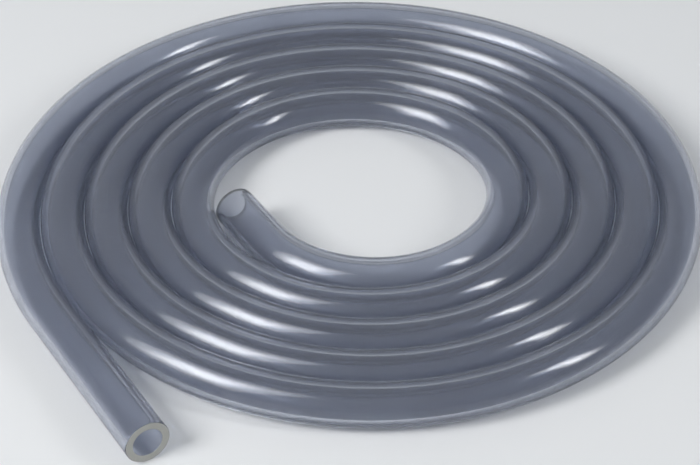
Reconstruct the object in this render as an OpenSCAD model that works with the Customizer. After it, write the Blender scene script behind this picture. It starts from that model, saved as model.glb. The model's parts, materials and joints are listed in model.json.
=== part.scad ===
// Silicone tubing coil: one length of plain round tube, wound flat in a spiral.
// The winding is drawn in its own frame, where its quarter turns meet on lines along X and Y, and is then
// turned and moved so that the coil lies on the ground with its box centred on the origin.

/* [Tube] */
// Bore of the tube
tube_bore = 8; // [4:0.5:12]
// Thickness of the tube's wall
tube_wall = 2; // [1:0.25:4]

/* [Coil] */
// Whole turns between the two ends
turns = 5; // [3:1:8]
// Bend radius of the inmost quarter turn, at the middle of the tube
eye_r = 38; // [34:0.5:60]
// Clear gap between one turn and the next
turn_gap = 0.2; // [0.1:0.05:1]
// How far the whole winding is turned on the ground
winding_angle = 31.5; // [0:0.5:359.5]

/* [Ends] */
// How far the bend of the inner end is tucked in from the line of the coil
inner_tuck = 3; // [2:0.25:8]
// Straight length of tube at the outer end
outer_straight = 57; // [20:1:120]

/* [Hidden] */
$fn = 96;

tube_od = tube_bore + 2 * tube_wall;
tube_r = tube_od / 2;
pitch = tube_od + turn_gap;
quarter_step = pitch / 4;
last_quarter = 4 * turns - 1;

// Direction of an angle on the ground
function aim(angle) = [cos(angle), sin(angle)];

// A four-centre spiral: quarter k turns from 180 + 90 k degrees about a corner of a small square,
// with a radius one step larger than the quarter before it
function quarter_start(k) = (180 + 90 * k) % 360;
function quarter_centre(k) = [k % 4 < 2 ? 1 : -1, k % 4 == 0 || k % 4 == 3 ? -1 : 1] * quarter_step / 2;
function quarter_r(k) = eye_r + k * quarter_step;

// The inner end takes the place of quarter 0. It bends tighter than the coil and then runs straight,
// until the outside corner of its cut face is one turn gap from the turn it comes to rest beside
inner_bend_r = eye_r - inner_tuck;
inner_centre = quarter_centre(1) - [0, quarter_r(1) - inner_bend_r];
inner_corner_x = inner_centre.x - inner_bend_r - tube_r;
inner_limit = quarter_r(3) - tube_r - turn_gap;
inner_corner_y = quarter_centre(3).y + sqrt(inner_limit ^ 2 - (inner_corner_x - quarter_centre(3).x) ^ 2);
inner_straight = inner_corner_y - inner_centre.y;

// The outer end leaves the last quarter where that quarter ends, and runs straight
outer_start = quarter_centre(last_quarter) - [quarter_r(last_quarter), 0];
outer_end = outer_start - [0, outer_straight];

// How far the tube reaches from the middle of the winding, along a direction on the ground
function last_turn(angle) = last_quarter - 3 + floor(((angle + 540) % 360) / 90);
function coil_reach(angle) =
    quarter_centre(last_turn(angle)) * aim(angle) + quarter_r(last_turn(angle)) + tube_r;
function end_reach(angle) = outer_end * aim(angle) + tube_r * abs(cos(angle));
function reach(angle) = max(coil_reach(angle - winding_angle), end_reach(angle - winding_angle));
box_centre = [reach(0) - reach(180), reach(90) - reach(270)] / 2;

module tube_section() {
    difference() {
        circle(d = tube_od);
        circle(d = tube_bore);
    }
}

// A straight run of the tube from the origin along +Y
module straight(length) {
    rotate([-90, 0, 0])
        linear_extrude(length)
            tube_section();
}

// The quarters that turn about one corner of the square: the first given and every fourth one after it
module quarters(first) {
    translate(quarter_centre(first))
        rotate_extrude(angle = 90, start = quarter_start(first))
            for (k = [first : 4 : last_quarter])
                translate([quarter_r(k), 0])
                    tube_section();
}

module inner_end() {
    translate(inner_centre) {
        rotate_extrude(angle = 90, start = quarter_start(0))
            translate([inner_bend_r, 0])
                tube_section();
        translate([-inner_bend_r, 0, 0])
            straight(inner_straight);
    }
}

module outer_end() {
    translate(quarter_centre(last_quarter))
        translate([-quarter_r(last_quarter), 0, 0])
            mirror([0, 1, 0])
                straight(outer_straight);
}

module silicone_tube() {
    color("lightsteelblue", 0.6)
        translate([-box_centre.x, -box_centre.y, tube_r])
            rotate(winding_angle) {
                inner_end();
                quarters(1);
                quarters(2);
                quarters(3);
                quarters(4);
                outer_end();
            }
}

silicone_tube();
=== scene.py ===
# %% [markdown]
# # A coil of clear silicone tubing
#
# The object is one length of soft laboratory tube, laid down in a flat spiral with both ends left bare.
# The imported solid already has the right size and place. This lesson swaps it for a finer mesh of the
# same tube, gives that mesh the look of clear silicone, and lights it like a small product in a studio.

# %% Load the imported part
import json
import math

import bmesh
import bpy
from mathutils import Matrix, Vector


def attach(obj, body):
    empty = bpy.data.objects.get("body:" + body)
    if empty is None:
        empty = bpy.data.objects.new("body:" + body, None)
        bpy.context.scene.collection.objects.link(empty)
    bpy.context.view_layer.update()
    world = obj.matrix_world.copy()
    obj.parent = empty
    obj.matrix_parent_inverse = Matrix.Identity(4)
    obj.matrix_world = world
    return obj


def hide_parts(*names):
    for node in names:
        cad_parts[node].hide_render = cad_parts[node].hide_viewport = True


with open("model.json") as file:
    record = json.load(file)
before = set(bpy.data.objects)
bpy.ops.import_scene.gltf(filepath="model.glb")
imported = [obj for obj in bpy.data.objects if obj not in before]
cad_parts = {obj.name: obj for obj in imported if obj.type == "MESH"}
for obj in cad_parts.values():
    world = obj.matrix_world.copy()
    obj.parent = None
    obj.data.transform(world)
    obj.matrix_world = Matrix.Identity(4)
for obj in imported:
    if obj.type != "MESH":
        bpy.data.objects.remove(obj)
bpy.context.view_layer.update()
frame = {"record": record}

# %% [markdown]
# ## Sizes
#
# The record's mount gives the bore, the straight outer end, where that end's mouth is and which way it
# points. The wall and the winding need five more sizes, which are the same as in the part's own source.
# The coil lies one tube deep, so the tube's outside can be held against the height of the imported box.

# %% Sizes of the tube and of its winding
MM = 0.001
outer_mouth = frame["record"]["mounts"][0]
bore_r = outer_mouth["dims"]["r_mm"] * MM
tube_wall = 2 * MM
tube_r = bore_r + tube_wall
tube_od = 2 * tube_r
outer_straight = outer_mouth["dims"]["length_mm"] * MM
mouth_point = Vector(outer_mouth["pos_m"])
mouth_aim = Vector(outer_mouth["axis"]).normalized()

turns = 5
turn_gap = 0.2 * MM
eye_r = 38 * MM
inner_tuck = 3 * MM
quarter_step = (tube_od + turn_gap) / 4

# %% [markdown]
# ## Camera
#
# The photo looks down on the coil from the front. A long lens well away from a small object keeps the
# near and far turns nearly alike in width, as they are there. The camera is set by what a photographer
# would note down: what it aims at, how high it looks from, how far away it stands, and the lens.

# %% Camera at the photo's angle
camera_aim = Vector((-0.2, -7.6, 0)) * MM
camera_height = math.radians(37.94)
camera_distance = 552.6 * MM
camera_lens = 100.7
camera_sensor = 36
camera_back = Vector((0, -math.cos(camera_height), math.sin(camera_height)))

camera_data = bpy.data.cameras.new("camera")
camera_data.lens = camera_lens
camera_data.sensor_width = camera_sensor
camera = bpy.data.objects.new("camera", camera_data)
camera.location = camera_aim + camera_distance * camera_back
camera.rotation_euler = camera_back.to_track_quat("Z", "Y").to_euler()
bpy.context.scene.collection.objects.link(camera)
bpy.context.scene.camera = camera
print("camera at", [round(x, 3) for x in camera.location])

# %% [markdown]
# ## The route of the tube
#
# A spiral can be drawn as a formula, but a maker's way is simpler: walk along the tube from its outer
# mouth, and at each quarter turn bend a little tighter. Four quarters take one tube width and the small
# gap off the radius, so the turns come to lie side by side. The walk keeps each move, because the mesh is
# swept along the same moves. At the inner end the tube bends once more and then runs straight, until its
# corner meets the turn beside it.

# %% Walk the route inwards from the outer mouth
QUARTER = math.pi / 2
UP = Vector((0, 0, 1))


def bend_move(place, heading, radius):
    """A quarter turn to the right: its centre, then the place and heading after it."""
    centre = place + radius * heading.cross(UP)
    turn = Matrix.Rotation(-QUARTER, 3, UP)
    return {
        "centre": centre,
        "radius": radius,
        "place": centre + turn @ (place - centre),
        "heading": turn @ heading,
    }


def straight_move(place, heading, length):
    return {"centre": None, "length": length, "place": place + length * heading, "heading": heading}


moves = [straight_move(mouth_point, -mouth_aim, outer_straight)]
for quarter in range(4 * turns - 1, 0, -1):
    last = moves[-1]
    moves.append(bend_move(last["place"], last["heading"], eye_r + quarter * quarter_step))
# The inner end comes to rest beside the third quarter from the middle
beside = moves[-3]
moves.append(bend_move(moves[-1]["place"], moves[-1]["heading"], eye_r - inner_tuck))

corner = moves[-1]["place"] - tube_r * moves[-1]["heading"].cross(UP) - beside["centre"]
room = beside["radius"] - tube_r - turn_gap
along = corner.dot(moves[-1]["heading"])
inner_straight = math.sqrt(along * along + room * room - corner.dot(corner)) - along
moves.append(straight_move(moves[-1]["place"], moves[-1]["heading"], inner_straight))
inner_end = moves[-1]["place"]
print(f"inner end: {inner_straight / MM:.2f} mm straight, to", [round(x / MM, 2) for x in inner_end])

# %% [markdown]
# ## The tube
#
# A curve with a round bevel would give the outside quickly, but a real tube has a bore and a wall, and
# both show here because the silicone is clear. So the section is drawn first, as a flat ring of faces
# between the outside and the bore, and the spin operator sweeps that ring along the moves. It turns
# about a centre for a bend, and with no angle it only shifts for a straight run. The first ring stays
# behind and the last one goes along, so both become the ends that a knife cut.
#
# Each point of the ring also carries its direction from the middle of the tube, as an attribute. The
# sweep copies it from ring to ring, so a material can draw lines that run along the tube.

# %% Draw the section at the outer mouth
RING_SEGMENTS = 44

tube_mesh = bmesh.new()
section = tube_mesh.verts.layers.float_vector.new("section")
outside = bmesh.ops.create_circle(tube_mesh, segments=RING_SEGMENTS, radius=tube_r)["verts"]
for vert in outside:
    vert[section] = vert.co.normalized()
inwards = bmesh.ops.extrude_edge_only(tube_mesh, edges=tube_mesh.edges[:])["geom"]
bore = [item for item in inwards if isinstance(item, bmesh.types.BMVert)]
bmesh.ops.scale(tube_mesh, verts=bore, vec=(bore_r / tube_r, bore_r / tube_r, 1))
stand = mouth_aim.to_track_quat("Z", "Y").to_matrix()
bmesh.ops.rotate(tube_mesh, verts=tube_mesh.verts, cent=(0, 0, 0), matrix=stand)
bmesh.ops.translate(tube_mesh, verts=tube_mesh.verts, vec=mouth_point)
outer_cut = tube_mesh.faces[:]
print(f"section of {len(outer_cut)} faces")

# %% Sweep the section along the moves
RING_SPACING = 2.1 * MM


def sweep(mesh, ring, move):
    """Pulls the ring of faces along one move, and gives it back where the move ends."""
    bends = move["centre"] is not None
    length = move["radius"] * QUARTER if bends else move["length"]
    steps = math.ceil(length / RING_SPACING)
    swept = bmesh.ops.spin(
        mesh,
        geom=ring,
        cent=move["centre"] if bends else (0, 0, 0),
        axis=-UP,
        angle=QUARTER if bends else 0,
        dvec=(0, 0, 0) if bends else move["heading"] * (length / steps),
        steps=steps,
    )
    return swept["geom_last"]


ring = tube_mesh.verts[:] + tube_mesh.edges[:] + outer_cut
for move in moves:
    ring = sweep(tube_mesh, ring, move)
inner_cut = [item for item in ring if isinstance(item, bmesh.types.BMFace)]
print(f"wall swept: {len(tube_mesh.faces)} faces")

# %% [markdown]
# ## The cut ends
#
# A knife leaves a flat, matte ring with crisp rims. Soft rubber never has a perfectly sharp edge,
# though, and a hair-wide bevel on both rims catches the light, which is how the eye finds the edge of a
# clear thing.

# %% Round the rims of the cut ends
RIM_ROUND = 0.18 * MM
RIM_STEPS = 3
WALL_FINISH, CUT_FINISH = 0, 1

cut_faces = set(outer_cut + inner_cut)
for face in tube_mesh.faces:
    face.material_index = CUT_FINISH if face in cut_faces else WALL_FINISH
    face.smooth = face not in cut_faces
rims = {edge for face in cut_faces for edge in face.edges if not cut_faces.issuperset(edge.link_faces)}
bmesh.ops.bevel(
    tube_mesh,
    geom=list(rims),
    offset=RIM_ROUND,
    segments=RIM_STEPS,
    profile=0.5,
    affect="EDGES",
    material=-1,
)
bmesh.ops.recalc_face_normals(tube_mesh, faces=tube_mesh.faces)

tube_data = bpy.data.meshes.new("silicone_tubing")
tube_mesh.to_mesh(tube_data)
tube_mesh.free()
tube = bpy.data.objects.new("silicone_tubing", tube_data)
bpy.context.scene.collection.objects.link(tube)
print(f"tube closed: {len(tube_data.polygons)} faces")

# %% [markdown]
# ## What the tube is to the part
#
# The mesh rides on the part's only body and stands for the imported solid.

POINTS_PER_MOVE = 16


def move_points(place, move):
    """Points along one move, without its first one."""
    shares = [k / POINTS_PER_MOVE for k in range(1, POINTS_PER_MOVE + 1)]
    if move["centre"] is None:
        return [place + (move["place"] - place) * share for share in shares]
    steps = [Matrix.Rotation(-QUARTER * share, 3, UP) for share in shares]
    return [move["centre"] + step @ (place - move["centre"]) for step in steps]


route = [mouth_point]
for move in moves:
    route += move_points(route[-1], move)

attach(tube, "root")
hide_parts("silicone_tube")

# %% [markdown]
# ## Materials
#
# Colours are written as they would be picked on a screen, and one function turns them to the linear
# values that the shader works in. A second one adds a node with its settings and links.

# %% Helpers for the materials
SILICONE_IOR = 1.41


def linear(hex_colour):
    """An sRGB hex colour as linear red, green, blue and alpha."""
    parts = [int(hex_colour[k:k + 2], 16) / 255 for k in (1, 3, 5)]
    return [x / 12.92 if x <= 0.04045 else ((x + 0.055) / 1.055) ** 2.4 for x in parts] + [1]


def add(tree, kind, settings=None, **inputs):
    """Adds a node; an input is a value, or another node's output to link."""
    node = tree.nodes.new(kind)
    for name, value in (settings or {}).items():
        setattr(node, name, value)
    for name, value in inputs.items():
        socket = node.inputs[name.replace("_", " ")]
        if isinstance(value, bpy.types.NodeSocket):
            tree.links.new(value, socket)
        else:
            socket.default_value = value
    return node


def new_material(name):
    material = bpy.data.materials.new(name)
    material.use_nodes = True
    material.node_tree.nodes.clear()
    return material, material.node_tree


# %% [markdown]
# ### Clear silicone, extruded and cured
#
# Platinum-cured silicone is water-clear with a cool, slightly milky cast, and it bends light a little
# less than glass. An extruded wall is glossy, with faint lines that the die drew along it. Most light
# passes through, so the tint on the surface is what gives the tube its body: the rims, where a ray
# crosses the wall once, stay paler than the middle, where it crosses the wall twice.

# %% Clear silicone
DIE_LINE = 0.9 * MM
HAZE_SIZE = 22 * MM
STREAK_SHARE = 0.5

silicone, tree = new_material("clear_silicone_extruded")
around = add(tree, "ShaderNodeAttribute", {"attribute_name": "section"}).outputs["Vector"]
place = add(tree, "ShaderNodeTexCoord").outputs["Object"]
haze = add(tree, "ShaderNodeTexNoise", Vector=place, Scale=1 / HAZE_SIZE, Detail=3.0, Roughness=0.5)
lines = add(tree, "ShaderNodeTexNoise", Vector=around, Scale=tube_r / DIE_LINE, Detail=2.0, Roughness=0.6)
uneven = add(tree, "ShaderNodeMix", Factor=STREAK_SHARE, A=haze.outputs["Fac"], B=lines.outputs["Fac"])
tint = add(tree, "ShaderNodeMix", {"data_type": "RGBA"})
tree.links.new(uneven.outputs["Result"], tint.inputs["Factor"])
tint.inputs["A"].default_value = linear("#b9becb")
tint.inputs["B"].default_value = linear("#d2d6df")
polish = add(tree, "ShaderNodeMapRange", Value=lines.outputs["Fac"], To_Min=0.09, To_Max=0.13)
relief = add(tree, "ShaderNodeBump", Height=lines.outputs["Fac"], Strength=0.01, Distance=0.05 * MM)
body = add(
    tree,
    "ShaderNodeBsdfPrincipled",
    Base_Color=tint.outputs["Result"],
    Roughness=polish.outputs["Result"],
    Normal=relief.outputs["Normal"],
    Transmission_Weight=0.92,
    IOR=SILICONE_IOR,
)
add(tree, "ShaderNodeOutputMaterial", Surface=body.outputs["BSDF"])
tube_data.materials.append(silicone)
print("material:", silicone.name)

# %% [markdown]
# ### Knife-cut silicone
#
# The cut through the wall is not polished by a die. It scatters light, so it reads as a pale, matte
# ring that is a little warmer than the clear wall, with the fine grain that the blade left on it.

# %% Knife-cut silicone
CUT_GRAIN = 0.35 * MM

cut, tree = new_material("silicone_knife_cut")
place = add(tree, "ShaderNodeTexCoord").outputs["Object"]
grain = add(tree, "ShaderNodeTexNoise", Vector=place, Scale=1 / CUT_GRAIN, Detail=3.0, Roughness=0.6)
paleness = add(tree, "ShaderNodeMix", {"data_type": "RGBA"})
tree.links.new(grain.outputs["Fac"], paleness.inputs["Factor"])
paleness.inputs["A"].default_value = linear("#9e9e99")
paleness.inputs["B"].default_value = linear("#aeaea9")
relief = add(tree, "ShaderNodeBump", Height=grain.outputs["Fac"], Strength=0.15, Distance=0.05 * MM)
body = add(
    tree,
    "ShaderNodeBsdfPrincipled",
    Base_Color=paleness.outputs["Result"],
    Roughness=0.55,
    Normal=relief.outputs["Normal"],
    IOR=SILICONE_IOR,
)
add(tree, "ShaderNodeOutputMaterial", Surface=body.outputs["BSDF"])
tube_data.materials.append(cut)
print("material:", cut.name)

# %% [markdown]
# ## Floor and light
#
# The floor is a plain pale sheet. Two soft boxes stand in front of the coil, a broad one on the left
# and a narrower one on the right: each turn then carries one broad and one slim highlight at the front,
# and the same pair again at the back, as the photo shows. A real soft box is brightest in its middle,
# so each is made of a bright lamp and one or two larger, dimmer ones, and its highlights fade out
# instead of ending at a hard edge. The dimmer lamps show only in reflections, so that the floor and the
# colours stay at a plain level. A pale, even sky fills the rest.

# %% Floor
FLOOR_SIDE = 4.0
floor_mesh = bmesh.new()
bmesh.ops.create_grid(floor_mesh, x_segments=1, y_segments=1, size=FLOOR_SIDE / 2)
floor_data = bpy.data.meshes.new("floor")
floor_mesh.to_mesh(floor_data)
floor_mesh.free()
floor = bpy.data.objects.new("floor", floor_data)
bpy.context.scene.collection.objects.link(floor)

paper, tree = new_material("pale_paper")
body = add(tree, "ShaderNodeBsdfPrincipled", Base_Color=linear("#e6e7e8"), Roughness=0.8)
add(tree, "ShaderNodeOutputMaterial", Surface=body.outputs["BSDF"])
floor_data.materials.append(paper)
print("floor:", FLOOR_SIDE, "m square")

# %% Soft boxes and sky
LIGHT_DISTANCE = 1.2
CLEAR_BOUNCES = 24
SKY_STRENGTH = 0.5


def soft_box(name, azimuth, height, width, tall, power, glow_only=False):
    """A rectangular lamp that faces the coil from a direction given in degrees."""
    flat, lift = math.radians(azimuth), math.radians(height)
    out = Vector((math.cos(flat) * math.cos(lift), math.sin(flat) * math.cos(lift), math.sin(lift)))
    data = bpy.data.lights.new(name, "AREA")
    data.shape = "RECTANGLE"
    data.size = width
    data.size_y = tall
    data.energy = power
    lamp = bpy.data.objects.new(name, data)
    lamp.location = LIGHT_DISTANCE * out
    lamp.rotation_euler = out.to_track_quat("Z", "Y").to_euler()
    lamp.visible_diffuse = not glow_only
    bpy.context.scene.collection.objects.link(lamp)


LEFT = {"azimuth": -150, "height": 40}
RIGHT = {"azimuth": -20, "height": 34}
soft_box("broad_box_left", **LEFT, width=0.42, tall=0.5, power=9)
soft_box("broad_glow_left", **LEFT, width=0.6, tall=0.8, power=12, glow_only=True)
soft_box("broad_halo_left", **LEFT, width=0.9, tall=1.15, power=13, glow_only=True)
soft_box("slim_box_right", **RIGHT, width=0.14, tall=0.4, power=3)
soft_box("slim_glow_right", **RIGHT, width=0.25, tall=0.65, power=3, glow_only=True)

sky = bpy.data.worlds.new("sky")
sky.use_nodes = True
glow = sky.node_tree.nodes["Background"]
glow.inputs["Color"].default_value = linear("#e4e8ec")
glow.inputs["Strength"].default_value = SKY_STRENGTH
bpy.context.scene.world = sky
bpy.context.scene.view_settings.view_transform = "Standard"
bpy.context.scene.cycles.max_bounces = CLEAR_BOUNCES
bpy.context.scene.cycles.transmission_bounces = CLEAR_BOUNCES
print("lamps:", [light.name for light in bpy.data.lights])
